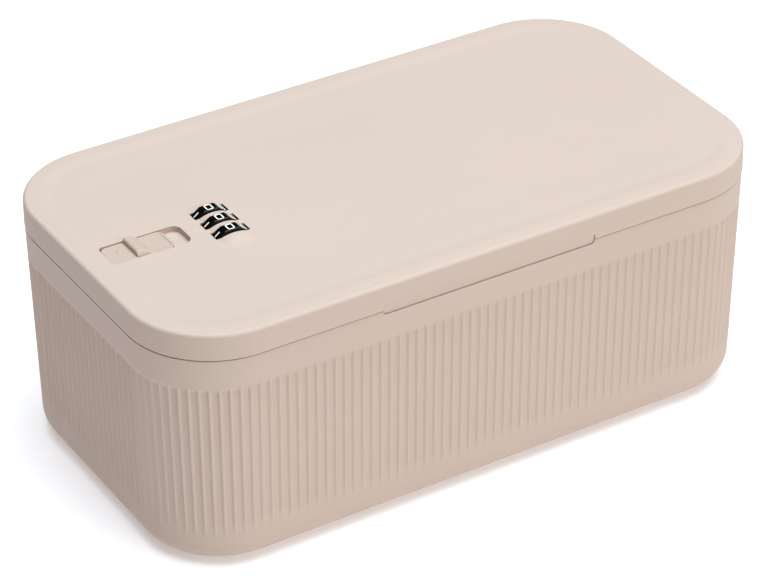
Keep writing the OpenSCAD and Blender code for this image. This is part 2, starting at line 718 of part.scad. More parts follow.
// The sleeve inside a wheel, with a ring whose gate stands to the left at rest
module dial_sleeve(n) color(steel) {
    y = lock_y + (n - 2) * dial_pitch;
    translate([dial_x, y, dial_z]) rotate([-90, 0, 0]) difference() {
        union() {
            translate([0, 0, -dial_w / 2]) cylinder(h = dial_w, r = sleeve_r - held);
            translate([0, 0, -dial_pitch / 2 + 0.05]) cylinder(h = dial_pitch - 0.1, r = hub_r);
            translate([0, 0, dial_w / 2 + 0.05]) cylinder(h = web_t, r = ring_out);
            translate([0, 0, dial_w / 2 + 0.05]) difference() {
                cylinder(h = ring_end - dial_w / 2 - 0.05, r = ring_out);
                translate([0, 0, -over]) cylinder(h = 5, r = ring_in);
            }
        }
        translate([-ring_out - over, -gate_w / 2, dial_w / 2 + 0.05 + web_t])
            cube([ring_out - ring_in + 2 * over, gate_w, 5]);
        translate([0, 0, -dial_pitch]) cylinder(h = 2 * dial_pitch, r = bore_r);
    }
}

module reset_lever() color(grey) {
    high = carrier_floor;
    low = high - carrier_t;
    box(reset_x - 1.4, reset_x + 1.4, reset_y - 0.95, reset_y + 0.95, low - 0.2, high + 0.2);
    box(reset_x - 2.6, reset_x + 2.6, reset_y - 1.6, reset_y + 1.6, high + 0.1, high + 1.1);
    box(reset_x - 2.4, reset_x + 2.4, reset_y - 1.8, reset_y + 1.8, low - 1.5, low - 0.1);
}

body_shell();
for (n = [1:4]) foot(n);
hinge_pin(-1);  // hinge_pin_1
hinge_pin(1);  // hinge_pin_2
strike_hook();
strike_screws();
lid_shell();
latch_cover();
cover_screws();
dial_carrier();
carrier_screws();
dial_shaft();
shaft_clips();
detent_spring();
detent_screws();
for (n = [1:3]) dial_wheel(n);
for (n = [1:3]) dial_sleeve(n);
slider_button();
latch_plate();
slider_screws();
reset_lever();
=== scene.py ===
import math
import bmesh
import bpy
from mathutils import Matrix, Vector


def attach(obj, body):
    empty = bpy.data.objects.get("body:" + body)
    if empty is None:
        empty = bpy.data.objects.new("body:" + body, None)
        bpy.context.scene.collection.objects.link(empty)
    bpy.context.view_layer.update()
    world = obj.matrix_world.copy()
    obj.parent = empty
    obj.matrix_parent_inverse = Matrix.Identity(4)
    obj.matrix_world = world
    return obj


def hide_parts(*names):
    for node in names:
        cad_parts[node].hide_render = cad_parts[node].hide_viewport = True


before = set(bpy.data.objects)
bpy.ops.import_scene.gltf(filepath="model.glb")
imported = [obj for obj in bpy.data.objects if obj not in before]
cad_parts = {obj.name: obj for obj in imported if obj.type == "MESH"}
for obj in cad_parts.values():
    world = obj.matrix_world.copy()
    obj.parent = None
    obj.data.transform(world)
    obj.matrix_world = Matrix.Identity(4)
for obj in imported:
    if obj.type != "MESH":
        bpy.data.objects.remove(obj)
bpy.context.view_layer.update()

MM = 0.001

# Sizes are in millimetres, and most are the solids' own. The lid's rim, skirt and panel and the
# flutes, seam, lip, pocket, slider and ribs differ a little, so that light and shade fall on them
# as on the real box.
TUCK = 0.05  # small step that keeps two faces from lying in one plane
PAST = 1.0  # how far a cutter runs past what it cuts

# Case
CASE_L = 270.0  # left to right
CASE_W = 148.5  # front to rear, without the hinges
CASE_H = 106.5  # from the table to the lid's rim
CORNER_R = 35.8  # upright corners of the lid

# Lid
LID_H = 10.9
SEAM_GAP = 0.5  # dark seam between the lid and the body
SKIRT_T = 2.5
SKIRT_LEAN = 0.1  # how far the skirt leans in from its lower edge to its top
SKIRT_ROUND_OUT, SKIRT_ROUND_IN = 0.12, 0.2  # lower edges of the skirt
LID_FILLET = 1.6  # top outer edge
RIM_W = 3.8  # flat top of the rim
PANEL_DROP = 0.85  # from the rim to the middle of the panel
PANEL_T = 2.65
SLOPE_W, SLOPE_DROP = 7.0, 0.5  # soft slope from the rim to the panel
DISH_W = 20.0  # strip inside the slope over which the panel falls the rest
COVE = 1.2  # chamfer between the skirt and the panel, inside
PANEL_SOFT = 0.25  # edges of the openings in the panel

# Body
SIDE_INSET, END_INSET = 0.5, 0.1  # how far the body stands back under the skirt
WALL, FLOOR_T = 2.6, 2.8
BASE_FILLET = 9.8
FOOT_H = 1.0
DRAFT = 1.12  # lean of the walls, in degrees
RIM_ROUND = 0.15
REGISTER_H, REGISTER_T, REGISTER_GAP = 2.4, 1.6, 0.5  # raised ring that centres the lid
REGISTER_ROUND = 0.3
TAPER_TOP, TAPER_END = 1.5, 4.5  # drops below the rim between which it thins to the wall

# Flutes
FLUTES_LONG, FLUTES_SHORT, FLUTES_CORNER = 50, 19, 14
FLUTE_DEPTH, END_DEPTH = 0.8, 1.05  # on the long and on the short sides
RIDGE_W = 2.3
FLUTE_LOW, FOOT_FADE, FOOT_SHARE = 13.0, 9.0, 0.7  # start, fade, and share of the depth after it
BAND_H, TOP_FADE = 11.8, 3.0  # plain band under the rim, and the flutes' fade below it

# Lip: the long finger edge on the lid's front, in a recess of the skirt
LIP_L, LIP_T = 94.0, 1.2
LIP_DROP, LIP_RISE = 2.1, 2.7  # below and above the seam
LIP_IN = 1.0  # how far it stands back from the skirt
LIP_ROUND = 1.5
LIP_GAP = 0.2  # below the lip and at its two ends
LIP_LEAN = 0.85  # how much shallower its recess is at the top than at the foot
LIP_ROOM = 0.4  # between the lip's back and the body
LIP_SOFT, SLOT_SOFT = 0.9, 0.3  # lower edges of the lip, and of its slot in the body

# Hinges
HINGE_X, HINGE_IN = 68.0, 0.2
BARREL_R, BARREL_ROUND = 3.2, 0.3
PIN_R = 1.25
BODY_BORE, LID_BORE, BORE_ROUND = PIN_R + 0.02, PIN_R + 0.05, 0.15
LID_KNUCKLE, BODY_KNUCKLE, KNUCKLE_GAP, NOTCH_GAP = 22.0, 9.0, 0.4, 0.5
GUSSET_DEPTH, GUSSET_TOP, GUSSET_LEAN = 1.6, 1.6, math.radians(35)
GUSSET_SOFT = 0.15

# Pad inside the left end, which the strike hook is screwed to
PAD_PROUD, PAD_T, PAD_W, PAD_TOP, PAD_LOW, PAD_SOFT = 3.1, 3.9, 16.0, 7.6, 21.5, 0.4

# Dials and the ribs between them
LOCK_Y = -1.2  # the lock's line, a little in front of the middle
DIAL_FROM_END, DIAL_PITCH = 59.3, 8.28
DIAL_R, DIAL_W, DIAL_FACES, DIAL_SOFT = 9.8, 4.5, 10, 0.4
DIAL_STEP = 360 / DIAL_FACES
DIAL_GAP = 0.4
DIAL_PROUD = 2.15  # flat of a wheel above the panel
DIGIT_W, DIGIT_H, DIGIT_STROKE = 3.3, 2.5, 0.62
DIGIT_FLAT = 0.12  # thickness of a stroke, as a share of its width
RIB_L, RIB_H, RIB_T = 12.0, 1.5, 0.6
RIB_SUNK, RIB_ROUND, RIB_GAP = 0.04, 0.45, 0.03
NEAR_RIB_H, NEAR_RIB_FADE = 1.15, 8  # the front rib runs out into the panel
FAR_RIB_H, FAR_RIB_FADE = 0.3, 3  # and so does the rear one

# Pocket and slider
POCKET_L, POCKET_W, POCKET_D = 33.8, 13.6, 2.5
POCKET_R, POCKET_LEFT_R = 3.4, 1.8
POCKET_TO_DIAL = 14.7
POCKET_WALL, POCKET_FLOOR = 1.6, 2.35
POCKET_ROOT = 0.5  # how far the pocket's box reaches above the panel's underside
SLIDE_TRAVEL, SLIDE_GAP = 7.0, 0.3
PLATE_DROP, PLATE_LIFT, PLATE_LEFT_R, PLATE_SOFT = 0.12, 0.1, 2.8, 0.3
FIELD_FROM_GRIP, FIELD_END, FIELD_SIDE = 7, 1.2, 1.3  # sunk field on the plate
FIELD_R, FIELD_D = 0.8, 0.3
GRIP_FROM_LEFT, GRIP_H, GRIP_TOP_L, GRIP_RAMP_L = 10, 2.4, 2.4, 4.2  # thumb rib
GRIP_R, GRIP_LEFT_R = 1.4, 0.5
GRIP_FRONT, GRIP_REAR = 0.3, 0.1  # from the plate's edges to the thumb rib's foot
GRIP_FRONT_IN, GRIP_REAR_IN = 1.7, 0.8  # how much further in its top ends
GRIP_LEAN, GRIP_BROW = 0.2, 0.9  # lean of its left face, and rounding at that face's top
GRIP_LEVELS = (0, 0.25, 0.5, 0.65, 0.78, 0.88, 0.95, 0.985, 1)
GRIP_ROOT, GRIP_STEP = 1.4, 0.4  # below the plate's top: its hidden root, and the root's top
DOT_R, DOT_H, DOT_FROM_LEFT, DOT_OFF = 0.95, 0.28, 5.5, 0.6  # raised dot left of the thumb rib
STEM_FROM_LEFT, STEM_L, STEM_W = 10.6, 7.5, 8.6  # goes through the lid to the latch plate
STEM_DOWN, STEM_SOFT = 2.05, 0.1

# Heights and places that follow from them
SEAM_Z = CASE_H - LID_H
RIM_Z = SEAM_Z - SEAM_GAP
PANEL_Z = CASE_H - PANEL_DROP
UNDER_Z = PANEL_Z - PANEL_T
POCKET_Z = PANEL_Z - POCKET_D
POCKET_UNDER = POCKET_Z - POCKET_FLOOR
PLATE_TOP = PANEL_Z - PLATE_DROP
CORNER_X, CORNER_Y = CASE_L / 2 - CORNER_R, CASE_W / 2 - CORNER_R
BODY_R, BODY_X = CORNER_R - SIDE_INSET, CORNER_X + SIDE_INSET - END_INSET
SKIRT_IN = CORNER_R - SKIRT_T
REGISTER_OUT = SKIRT_IN - REGISTER_GAP
REGISTER_IN = REGISTER_OUT - REGISTER_T
RIM_IN = CORNER_R - SKIRT_LEAN - LID_FILLET - RIM_W
LIP_Y = LIP_IN - CASE_W / 2
LIP_LOW, LIP_HIGH = SEAM_Z - LIP_DROP, SEAM_Z + LIP_RISE
HINGE_Y = CASE_W / 2 - HINGE_IN
BODY_KNUCKLE_X = LID_KNUCKLE / 2 + KNUCKLE_GAP + BODY_KNUCKLE / 2
LID_KNUCKLES = (-HINGE_X, HINGE_X)
BODY_KNUCKLES = [x + off for x in LID_KNUCKLES for off in (-BODY_KNUCKLE_X, BODY_KNUCKLE_X)]
DIAL_X = DIAL_FROM_END - CASE_L / 2
DIAL_FLAT = DIAL_R * math.cos(math.radians(DIAL_STEP / 2))
DIAL_Z = PANEL_Z + DIAL_PROUD - DIAL_FLAT
POCKET_X1 = DIAL_X - POCKET_TO_DIAL
POCKET_X0 = POCKET_X1 - POCKET_L
POCKET_Y0, POCKET_Y1 = LOCK_Y - POCKET_W / 2, LOCK_Y + POCKET_W / 2


# Outlines and profiles
def arc(x, y, r, start, end, steps):
    """Points on an arc between two angles, in degrees"""
    turns = [math.radians(start + (end - start) * i / steps) for i in range(steps + 1)]
    return [(x + r * math.cos(turn), y + r * math.sin(turn)) for turn in turns]


def rounded(x0, x1, y0, y1, radii, steps=8):
    """A rectangle with its own radius at each corner: right top, left top, left foot, right foot"""
    points = []
    for (x, sx), (y, sy), r, start in zip(((x1, -1), (x0, 1), (x0, 1), (x1, -1)),
                                          ((y1, -1), (y1, -1), (y0, 1), (y0, 1)),
                                          radii, (0, 90, 180, 270)):
        points += arc(x + sx * r, y + sy * r, r, start, start + 90, steps) if r else [(x, y)]
    return points


def softened(points, steps=3):
    """Rounds each corner of a chain of (reach, height, radius)"""
    chain = []
    for i, (x, z, r) in enumerate(points):
        if r == 0:
            chain.append((x, z))
            continue
        here = Vector((x, z))
        back = (Vector(points[i - 1][:2]) - here).normalized()
        on = (Vector(points[(i + 1) % len(points)][:2]) - here).normalized()
        half = back.angle(on) / 2
        centre = here + (back + on).normalized() * (r / math.sin(half))
        start = here + back * (r / math.tan(half)) - centre
        end = here + on * (r / math.tan(half)) - centre
        for k in range(steps + 1):
            t = k / steps
            p = centre + (start * (1 - t) + end * t).normalized() * r
            chain.append((p.x, p.y))
    return chain


def smooth(t):
    """From 0 to 1, level at both ends"""
    return t * t * (3 - 2 * t)


def plain_outline(steps):
    """Places round the case: each corner's axis, the way it faces, and no flute"""
    return [(sx * CORNER_X, sy * CORNER_Y, math.radians(start + 90 * i / steps), 0.0)
            for sx, sy, start in ((1, 1, 0), (-1, 1, 90), (-1, -1, 180), (1, -1, 270))
            for i in range(steps + 1)]


def fluted_outline():
    """Places round the body, with each flute's share of its full depth across the soft ridges"""
    steps = 4
    ridge = [(RIDGE_W / 2 * (1 - i / steps), (1 + math.cos(math.pi * i / steps)) / 2)
             for i in range(steps + 1)]
    found = []

    def run(count, pitch, spot):
        for i in range(count):
            for off, share in reversed(ridge):
                found.append(spot(i * pitch + off, share))
            for off, share in ridge[:steps]:
                found.append(spot((i + 1) * pitch - off, share))

    for q, (sx, sy) in enumerate(((1, 1), (-1, 1), (-1, -1), (1, -1))):
        turn = BODY_R * math.pi / 2
        run(FLUTES_CORNER, turn / FLUTES_CORNER, lambda along, share: (
            sx * BODY_X, sy * CORNER_Y, math.radians(90 * q) + along / BODY_R, share))
        facing = math.radians(90 * (q + 1))
        if q % 2 == 0:
            run(FLUTES_LONG, 2 * BODY_X / FLUTES_LONG, lambda along, share: (
                sx * (BODY_X - along), sy * CORNER_Y, facing, share))
        else:
            run(FLUTES_SHORT, 2 * CORNER_Y / FLUTES_SHORT, lambda along, share: (
                sx * BODY_X, sy * (CORNER_Y - along), facing, share * END_DEPTH / FLUTE_DEPTH))
    return found


# Shapes, each a closed bmesh in its place
def moved(made):
    """The vertices among what an extrusion has made, which are then moved into place"""
    return [g for g in made if isinstance(g, bmesh.types.BMVert)]


def swept(rows, places):
    """A closed skin: each row (reach, height, flute depth, draw along X) goes round the places"""
    bm = bmesh.new()
    number = bm.verts.layers.int.new("place")
    ring = bmesh.ops.create_circle(bm, segments=len(places), radius=1)["verts"]
    for i, v in enumerate(ring):
        v[number] = i

    def put(verts, row):
        reach, height, depth, draw = (tuple(row) + (0.0, 0.0))[:4]
        for v in verts:
            x, y, turn, flute = places[v[number]]
            out = reach - flute * depth
            v.co = Vector((x - math.copysign(draw, x) + out * math.cos(turn),
                           y + out * math.sin(turn), height)) * MM

    put(ring, rows[0])
    edges = bm.edges[:]
    for row in rows[1:]:
        made = bmesh.ops.extrude_edge_only(bm, edges=edges)["geom"]
        verts = set(moved(made))
        edges = [g for g in made if isinstance(g, bmesh.types.BMEdge) and set(g.verts) <= verts]
        put(verts, row)
    bmesh.ops.holes_fill(bm, edges=[e for e in bm.edges if e.is_boundary], sides=0)
    bmesh.ops.recalc_face_normals(bm, faces=bm.faces)
    return bm


def turned(profile, x, y, z, along="X", steps=40):
    """A ring or rod: a closed chain of (radius, place along the axis) spun round an axis"""
    bm = bmesh.new()
    verts = [bm.verts.new((r * MM, 0, a * MM)) for r, a in profile]
    edges = [bm.edges.new((verts[i], verts[(i + 1) % len(verts)])) for i in range(len(verts))]
    bmesh.ops.spin(bm, geom=verts + edges, cent=(0, 0, 0), axis=(0, 0, 1), angle=2 * math.pi,
                   steps=steps, use_merge=True)
    bmesh.ops.remove_doubles(bm, verts=bm.verts, dist=1e-7)
    bmesh.ops.recalc_face_normals(bm, faces=bm.faces)
    turn = {"X": Matrix.Rotation(math.pi / 2, 4, "Y"), "Y": Matrix.Rotation(-math.pi / 2, 4, "X"),
            "Z": Matrix.Identity(4)}[along]
    place = Matrix.Translation(Vector((x, y, z)) * MM)
    bmesh.ops.transform(bm, matrix=place @ turn, verts=bm.verts)
    return bm


def rod(r, half, x, y, z, along="X", steps=48):
    return turned([(0, -half), (r, -half), (r, half), (0, half)], x, y, z, along, steps)


def prism(points, low, high, plane="XZ"):
    """A closed outline carried from low to high along the third axis"""
    bm = bmesh.new()
    spot, way = {"XZ": (lambda u, v: (u, low, v), (0, 1, 0)),
                 "YZ": (lambda u, v: (low, u, v), (1, 0, 0)),
                 "XY": (lambda u, v: (u, v, low), (0, 0, 1))}[plane]
    face = bm.faces.new([bm.verts.new(Vector(spot(u, v)) * MM) for u, v in points])
    made = bmesh.ops.extrude_face_region(bm, geom=[face])["geom"]
    bmesh.ops.translate(bm, vec=Vector(way) * ((high - low) * MM), verts=moved(made))
    bmesh.ops.recalc_face_normals(bm, faces=bm.faces)
    return bm


def block(x0, x1, y0, y1, z0, z1):
    return prism([(x0, z0), (x1, z0), (x1, z1), (x0, z1)], y0, y1)


def soften(bm, width, segments=2, wanted=None, angle=30):
    """Bevels the sharp edges, or those of them that are wanted"""
    sharp = [e for e in bm.edges
             if len(e.link_faces) == 2 and e.calc_face_angle() > math.radians(angle)
             and (wanted is None or wanted(e))]
    bmesh.ops.bevel(bm, geom=sharp, offset=width * MM, segments=segments, profile=0.5,
                    affect="EDGES", clamp_overlap=True, material=-1)
    return bm


def at_height(z):
    """Picks the edges that lie level at a height"""
    return lambda edge: all(abs(v.co.z - z * MM) < 2e-6 for v in edge.verts)


def as_object(name, bm):
    mesh = bpy.data.meshes.new(name)
    bm.to_mesh(mesh)
    bm.free()
    made = bpy.data.objects.new(name, mesh)
    bpy.context.scene.collection.objects.link(made)
    return made


def joined(*parts):
    """One mesh of several closed ones"""
    whole = bmesh.new()
    for part in parts:
        mesh = bpy.data.meshes.new("part")
        part.to_mesh(mesh)
        whole.from_mesh(mesh)
        bpy.data.meshes.remove(mesh)
        part.free()
    return whole


def as_mesh(obj):
    """A copy of an object's mesh with its modifiers or its curve's thickness applied"""
    bpy.context.view_layer.update()
    return bpy.data.meshes.new_from_object(obj.evaluated_get(bpy.context.evaluated_depsgraph_get()))


def carved(bm, tools, operation="DIFFERENCE"):
    """Cuts each closed tool out of a closed skin, or grows it on"""
    work = as_object("work", bm)
    for i, tool in enumerate(tools):
        cutter = as_object(f"tool_{i}", tool)
        step = work.modifiers.new("cut", "BOOLEAN")
        step.operation, step.solver, step.object = operation, "EXACT", cutter
        made = as_mesh(work)
        work.modifiers.clear()
        old, work.data = work.data, made
        bpy.data.meshes.remove(old)
        bpy.data.objects.remove(cutter)
    out = bmesh.new()
    out.from_mesh(work.data)
    bpy.data.objects.remove(work)
    return out


def finished_in(obj, material):
    """Gives a piece its one material"""
    obj.data.materials.clear()
    obj.data.materials.append(material)


def piece(name, bm, body, material, slot, *nodes):
    """A finished piece, smooth with sharp creases, riding on its body in place of its CAD nodes"""
    crease = math.radians(32)
    for face in bm.faces:
        face.smooth = True
    for edge in bm.edges:
        edge.smooth = not (len(edge.link_faces) == 2 and edge.calc_face_angle() > crease)
    made = as_object(name, bm)
    finished_in(made, material)
    even = made.modifiers.new("even_shading", "WEIGHTED_NORMAL")
    even.keep_sharp = True
    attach(made, body)
    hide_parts(*nodes)
    return made


# Materials
def linear(code):
    """An sRGB hex colour as the linear values that the shader takes"""
    parts = [int(code[i:i + 2], 16) / 255 for i in (1, 3, 5)]
    light = [c / 12.92 if c <= 0.04045 else ((c + 0.055) / 1.055) ** 2.4 for c in parts]
    return (*light, 1.0)


def add(tree, kind, inputs=None, **settings):
    """Adds a node: its settings, and its inputs as a value or as the output that feeds them"""
    made = tree.nodes.new(kind)
    for name, value in settings.items():
        setattr(made, name, value)
    for name, value in (inputs or {}).items():
        if isinstance(value, bpy.types.NodeSocket):
            tree.links.new(value, made.inputs[name])
        else:
            made.inputs[name].default_value = value
    return made


DRIFT_PER_M = 14.0  # the slow drift of a plastic's colour has waves of about 70 mm


def moulded(name, light, dark, grain_mm, grain_depth, roughness, spread=0.05, ior=1.53):
    """A moulded plastic: a slow drift between two colours, and grain in its sheen and relief"""
    made = bpy.data.materials.new(name)
    made.use_nodes = True
    tree = made.node_tree
    shader = tree.nodes["Principled BSDF"]
    where = add(tree, "ShaderNodeTexCoord").outputs["Object"]
    slow = add(tree, "ShaderNodeTexNoise", {"Vector": where, "Scale": DRIFT_PER_M,
                                            "Detail": 3.0, "Roughness": 0.5})
    grain = add(tree, "ShaderNodeTexNoise", {"Vector": where, "Scale": 1000 / grain_mm,
                                             "Detail": 3.0, "Roughness": 0.6})
    tint = add(tree, "ShaderNodeMix", {"Factor": slow.outputs["Fac"]}, data_type="RGBA")
    tint.inputs["A"].default_value, tint.inputs["B"].default_value = linear(dark), linear(light)
    tree.links.new(tint.outputs["Result"], shader.inputs["Base Color"])
    sheen = add(tree, "ShaderNodeMapRange", {
        "Value": grain.outputs["Fac"], "From Min": 0.3, "From Max": 0.7,
        "To Min": roughness - spread, "To Max": roughness + spread})
    tree.links.new(sheen.outputs["Result"], shader.inputs["Roughness"])
    bump = add(tree, "ShaderNodeBump", {"Height": grain.outputs["Fac"], "Strength": 1.0,
                                        "Distance": grain_depth * MM})
    tree.links.new(bump.outputs["Normal"], shader.inputs["Normal"])
    shader.inputs["IOR"].default_value = ior
    return made


def metal(name, colour, roughness, grain_mm, spread=0.08):
    """A bare metal with its grain in the sheen"""
    made = bpy.data.materials.new(name)
    made.use_nodes = True
    tree = made.node_tree
    shader = tree.nodes["Principled BSDF"]
    where = add(tree, "ShaderNodeTexCoord").outputs["Object"]
    grain = add(tree, "ShaderNodeTexNoise", {"Vector": where, "Scale": 1000 / grain_mm,
                                             "Detail": 2.0})
    sheen = add(tree, "ShaderNodeMapRange", {
        "Value": grain.outputs["Fac"], "From Min": 0.3, "From Max": 0.7,
        "To Min": roughness - spread, "To Max": roughness + spread})
    tree.links.new(sheen.outputs["Result"], shader.inputs["Roughness"])
    shader.inputs["Base Color"].default_value = linear(colour)
    shader.inputs["Metallic"].default_value = 1.0
    return made


# Grain sizes are in millimetres. The real grains are about 0.1 mm, too fine to show, so each is
# drawn several times as coarse.

# ABS from a spark-eroded mould: matt, even and soft, with wide dull highlights
abs_cream = moulded("abs_spark_eroded_cream", "#c5afa1", "#c1ab9d",
                    grain_mm=0.7, grain_depth=0.012, roughness=0.65, ior=1.45)
# The slider's ABS has a finer grain: a shade deeper than the lid, with a slightly tighter sheen
abs_slider = moulded("abs_fine_grain_cream", "#bea798", "#baa394",
                     grain_mm=0.5, grain_depth=0.008, roughness=0.6, ior=1.45)
# ABS from a polished mould: the wheels are near black, with small clear reflections on their flats
abs_black = moulded("abs_gloss_black", "#070405", "#050304",
                    grain_mm=0.5, grain_depth=0.002, roughness=0.17, spread=0.03, ior=1.42)
# Pad-printed ink: a flat, opaque warm white
abs_white = moulded("pad_print_white", "#f8ece2", "#f2e6dc",
                    grain_mm=0.5, grain_depth=0.002, roughness=0.6, ior=1.4)
# Acetal as moulded: a smooth grey with a waxy sheen
pom_grey = moulded("pom_grey", "#8d8a88", "#878482",
                   grain_mm=0.6, grain_depth=0.006, roughness=0.4)
# Moulded rubber: grey and dull, with a coarse skin
rubber = moulded("moulded_rubber_grey", "#73706c", "#6c6864",
                 grain_mm=0.8, grain_depth=0.02, roughness=0.75)
# Zinc-plated steel: bright and bluish, a little uneven where the plating lies thicker
zinc = metal("zinc_plated_steel", "#c9cbcd", roughness=0.35, grain_mm=0.8)
# Cold-rolled spring steel: darker and smoother than plated steel
spring = metal("cold_rolled_spring_steel", "#a9a9a6", roughness=0.28, grain_mm=0.5)


# Body
def leaning(z, inward=0.0):
    """Reach of the drafted wall at a height"""
    return BODY_R - math.tan(math.radians(DRAFT)) * (RIM_Z - z) - inward


def body_section():
    """Rows from the underside up the outside, over the rim and down to the floor"""
    foot_z = FOOT_H + BASE_FILLET
    foot_reach = leaning(foot_z) - BASE_FILLET
    rows = [(x, z) for x, z in reversed(arc(foot_reach, foot_z, BASE_FILLET, -DRAFT, -90, 9))]
    shares = [i / 6 for i in range(7)]
    for t in shares:
        z = FLUTE_LOW + FOOT_FADE * t
        rows.append((leaning(z), z, FLUTE_DEPTH * FOOT_SHARE * smooth(t)))
    for t in shares:
        z = RIM_Z - BAND_H - TOP_FADE * (1 - t)
        rows.append((leaning(z), z, FLUTE_DEPTH * smooth(1 - t)))
    draw = BODY_X - CORNER_X
    band_z, ring_z = RIM_Z - BAND_H / 2, RIM_Z + REGISTER_H
    rim = softened([(leaning(band_z), band_z, 0), (BODY_R, RIM_Z, RIM_ROUND),
                    (REGISTER_OUT + draw, RIM_Z, 0)])[1:]
    register = softened([(REGISTER_OUT, RIM_Z, 0), (REGISTER_OUT, ring_z, REGISTER_ROUND),
                         (REGISTER_IN, ring_z, 0)])
    rows += rim + [(x, z, 0.0, draw) for x, z in register]
    taper_z = RIM_Z - TAPER_END
    rows += softened([(REGISTER_OUT, ring_z, 0), (REGISTER_IN, ring_z, REGISTER_ROUND),
                      (REGISTER_IN, RIM_Z - TAPER_TOP, 0),
                      (leaning(taper_z, WALL), taper_z, 0)])[1:]
    inner_r, inner_z = BASE_FILLET - WALL, FOOT_H + FLOOR_T + BASE_FILLET - WALL
    return rows + arc(leaning(inner_z, WALL) - inner_r, inner_z, inner_r, -DRAFT, -90, 6)


def knuckle(x, length, bore):
    half = length / 2
    ends = [(bore, -half, BORE_ROUND), (BARREL_R, -half, BARREL_ROUND),
            (BARREL_R, half, BARREL_ROUND), (bore, half, BORE_ROUND)]
    return turned(softened(ends, 2), x, HINGE_Y, SEAM_Z)


def knuckle_room(x, length):
    """The round notch that leaves a knuckle of the other half free to turn"""
    return rod(BARREL_R + NOTCH_GAP, length / 2 + KNUCKLE_GAP, x, HINGE_Y, SEAM_Z)


def gusset(x):
    """The web under a body knuckle, tangent to it"""
    reach, fall = BARREL_R * math.cos(GUSSET_LEAN), BARREL_R * math.sin(GUSSET_LEAN)
    low = SEAM_Z - fall - (reach + GUSSET_DEPTH) / math.tan(GUSSET_LEAN)
    web = prism([(HINGE_Y - GUSSET_DEPTH, SEAM_Z - GUSSET_TOP), (HINGE_Y - GUSSET_DEPTH, low),
                 (HINGE_Y + reach - TUCK, SEAM_Z - fall), (HINGE_Y, SEAM_Z - GUSSET_TOP)],
                x - BODY_KNUCKLE / 2 + TUCK, x + BODY_KNUCKLE / 2 - TUCK, "YZ")
    return soften(web, GUSSET_SOFT)


slot_x, slot_low = LIP_L / 2 + LIP_GAP, LIP_LOW - LIP_GAP
slot_high = RIM_Z + REGISTER_H + 1.5 * PAST
lip_slot = prism(rounded(-slot_x, slot_x, slot_low, slot_high, (0, 0, LIP_ROUND, LIP_ROUND)),
                 LIP_Y - 2 * PAST, LIP_Y + LIP_T + LIP_ROOM)
body = carved(swept(body_section(), fluted_outline()),
              [lip_slot] + [knuckle_room(x, LID_KNUCKLE) for x in LID_KNUCKLES])
soften(body, SLOT_SOFT, 3, at_height(slot_low), 45)
pad_x = PAD_PROUD - (BODY_X + BODY_R - WALL)
strike_pad = block(pad_x - PAD_T, pad_x, LOCK_Y - PAD_W / 2, LOCK_Y + PAD_W / 2,
                   SEAM_Z - PAD_LOW, SEAM_Z - PAD_TOP)
parts = [body, soften(strike_pad, PAD_SOFT, 3)]
for x in BODY_KNUCKLES:
    parts += [knuckle(x, BODY_KNUCKLE, BODY_BORE), gusset(x)]
piece("body_moulding", joined(*parts), "case", abs_cream, "cream_abs", "body_shell")


# Lid
def lid_section():
    """Rows from the sunk panel over the rim, down the skirt and back under the panel"""
    dished, edge = PANEL_DROP - SLOPE_DROP, RIM_IN - SLOPE_W
    top_reach, top_z, high = CORNER_R - SKIRT_LEAN, CASE_H - LID_FILLET, UNDER_Z + PANEL_DROP
    rows = [(edge - DISH_W * (1 - i / 8), PANEL_Z + dished * smooth(i / 8)) for i in range(8)]
    rows += [(edge + SLOPE_W * i / 12, PANEL_Z + dished + SLOPE_DROP * smooth(i / 12))
             for i in range(13)]
    rows += arc(top_reach - LID_FILLET, top_z, LID_FILLET, 90, 0, 8)
    return rows + softened([(top_reach, top_z, 0), (CORNER_R, SEAM_Z, SKIRT_ROUND_OUT),
                            (SKIRT_IN, SEAM_Z, SKIRT_ROUND_IN), (SKIRT_IN, high - COVE, 0),
                            (SKIRT_IN - COVE, high, 0), (RIM_IN, high, 0),
                            (RIM_IN - SLOPE_W, UNDER_Z, 0)])[1:]


def arched_rib(y0, y1, soft0, soft1, high):
    """A rib with an arched top: a side is tightly rounded, or fades out over its soft width"""
    def side(soft):
        if soft:
            return [(soft * i / 8, smooth(i / 8)) for i in range(9)]
        turns = [math.radians(a) for a in range(0, 91, 18)]
        return [(RIB_ROUND * (1 - math.cos(turn)), math.sin(turn)) for turn in turns]

    across = [(y0 + d, f) for d, f in side(soft0)] + [(y1 - d, f) for d, f in reversed(side(soft1))]
    r = (RIB_L * RIB_L / 4 + high * high) / (2 * high)
    bm = bmesh.new()
    bmesh.ops.create_grid(bm, x_segments=24, y_segments=len(across) - 1, size=0.5)
    for v in bm.verts:
        along = v.co.x * RIB_L
        y, share = across[round((v.co.y + 0.5) * (len(across) - 1))]
        rise = math.sqrt(r * r - along * along) - (r - high)
        v.co = Vector((DIAL_X + along, y, PANEL_Z - RIB_SUNK + (rise + RIB_SUNK) * share)) * MM
    made = bmesh.ops.extrude_face_region(bm, geom=bm.faces[:])["geom"]
    bmesh.ops.translate(bm, vec=(0, 0, -RIB_T * MM), verts=moved(made))
    bmesh.ops.recalc_face_normals(bm, faces=bm.faces)
    return bm


def deeper_below(bm):
    """Leans the recess's cutter, so that the recess gets deeper towards its foot"""
    for v in bm.verts:
        if v.co.y > (LIP_Y - PAST / 2) * MM:
            v.co.y -= LIP_LEAN * MM * (v.co.z / MM - LIP_LOW) / (LIP_HIGH - LIP_LOW)
    return bm


